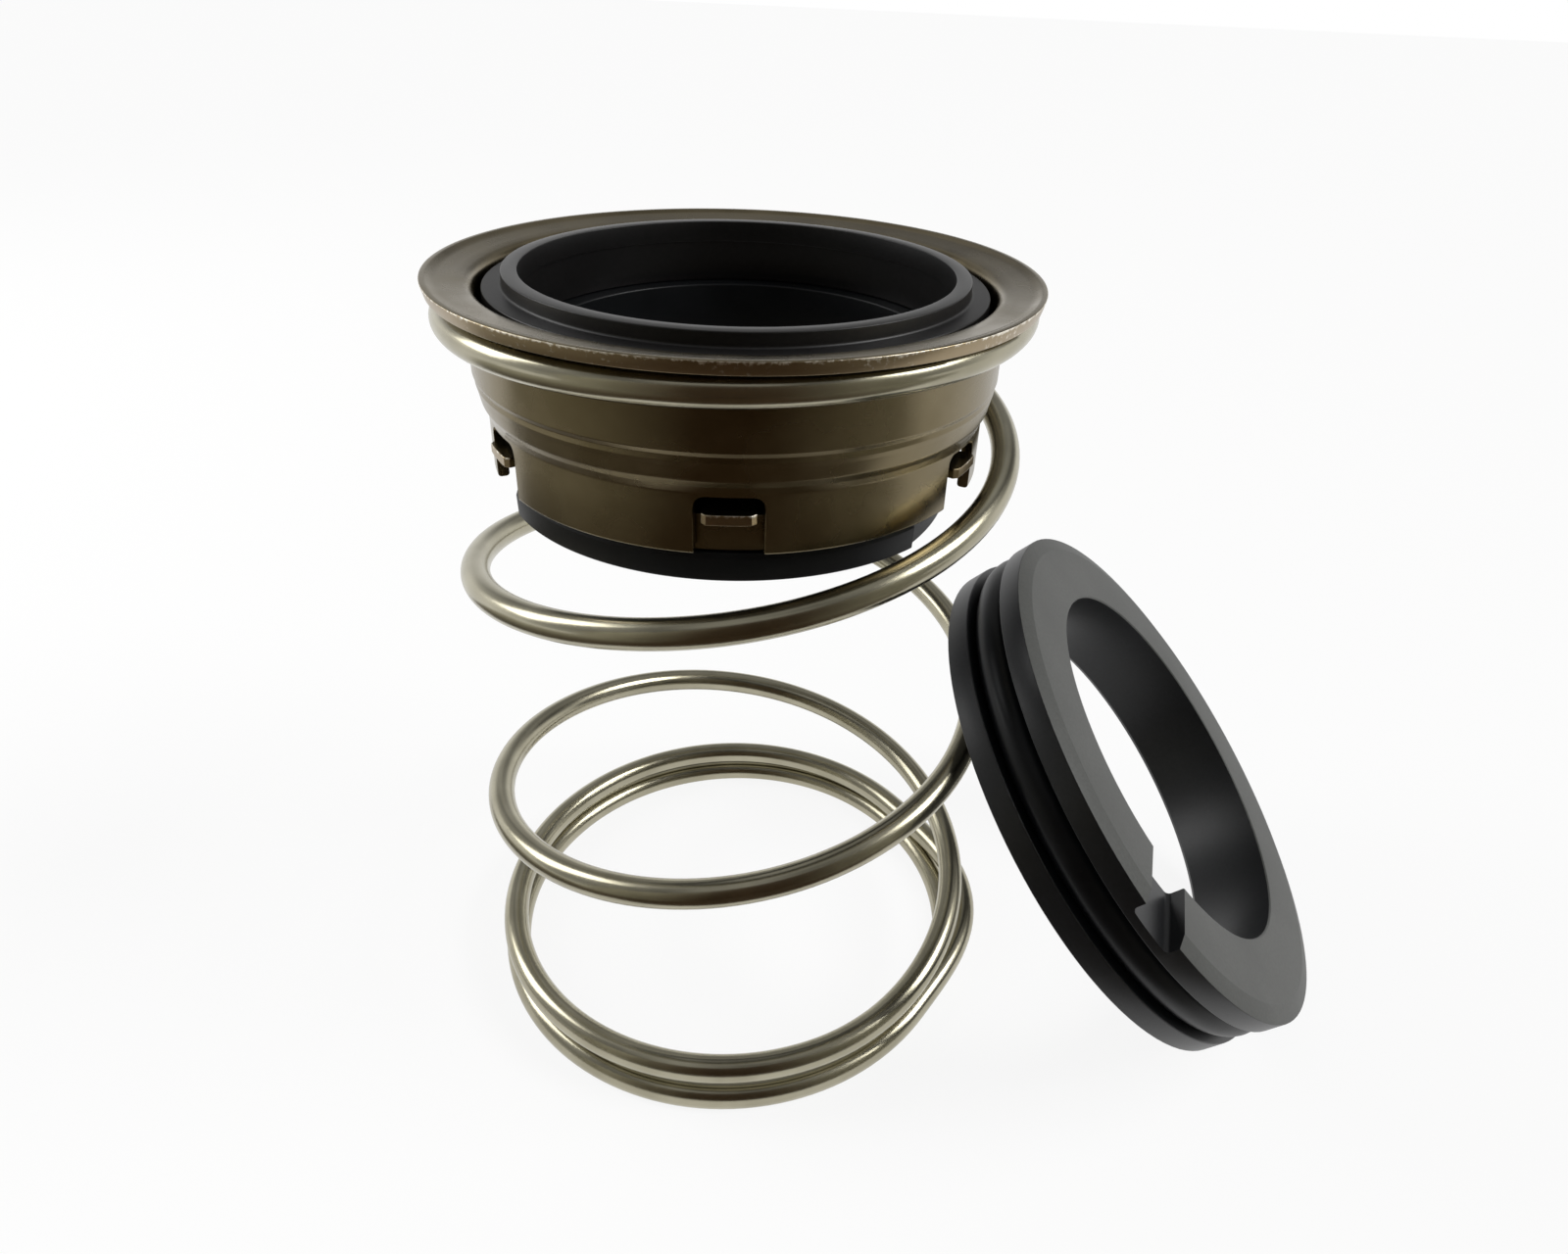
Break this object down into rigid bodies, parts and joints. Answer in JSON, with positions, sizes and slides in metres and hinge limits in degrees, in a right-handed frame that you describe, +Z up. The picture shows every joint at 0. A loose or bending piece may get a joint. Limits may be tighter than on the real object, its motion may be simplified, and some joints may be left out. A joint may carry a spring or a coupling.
{
  "type": "component mechanical seal",
  "caption": "Shaft seal set: flanged steel head with a dark face ring and rubber boot on its coil spring, and a notched grey seat ring leaning on the coils.",
  "frame": {"origin": "on the axis of the spring and head, in the plane of the spring's ground foot", "axes": "+Z up along the shaft axis, from the foot to the lapped nose; +X towards the leaning seat; -Y is the front"},
  "size_m": [0.0952, 0.0599, 0.0793],
  "materials": {
    "sheet_steel": "deep-drawn stainless sheet, satin, sheared rim",
    "drive_steel": "pressed stainless sheet, satin",
    "spring_wire": "drawn stainless wire, bright",
    "face_ring": "dark silicon carbide, satin, lapped nose",
    "seat_ceramic": "grey silicon carbide, ground matt",
    "boot_rubber": "moulded black rubber, satin",
    "o_ring_rubber": "moulded black rubber, satin"
  },
  "bodies": {
    "base": {"spring": "spring_wire", "seat_ring": "seat_ceramic", "seat_o_ring": "o_ring_rubber"},
    "head": {"retainer_shell": "sheet_steel", "rotary_face_ring": "face_ring", "rubber_boot": "boot_rubber"},
    "drive": {"drive_ring": "drive_steel"}
  },
  "joints": [
    {"name": "spring_compression", "type": "slide", "parent": "base", "child": "head", "axis": [0, 0, 1], "range_m": [-0.015, 0], "stiffness_N_per_m": 1390, "springref_m": 0.0004, "deforming": ["spring"]},
    {"name": "drive_ring_float", "type": "slide", "parent": "head", "child": "drive", "axis": [0, 0, 1], "range_m": [0, 0.0012], "stiffness_N_per_m": 600, "deforming": ["rubber_boot"]}
  ]
}
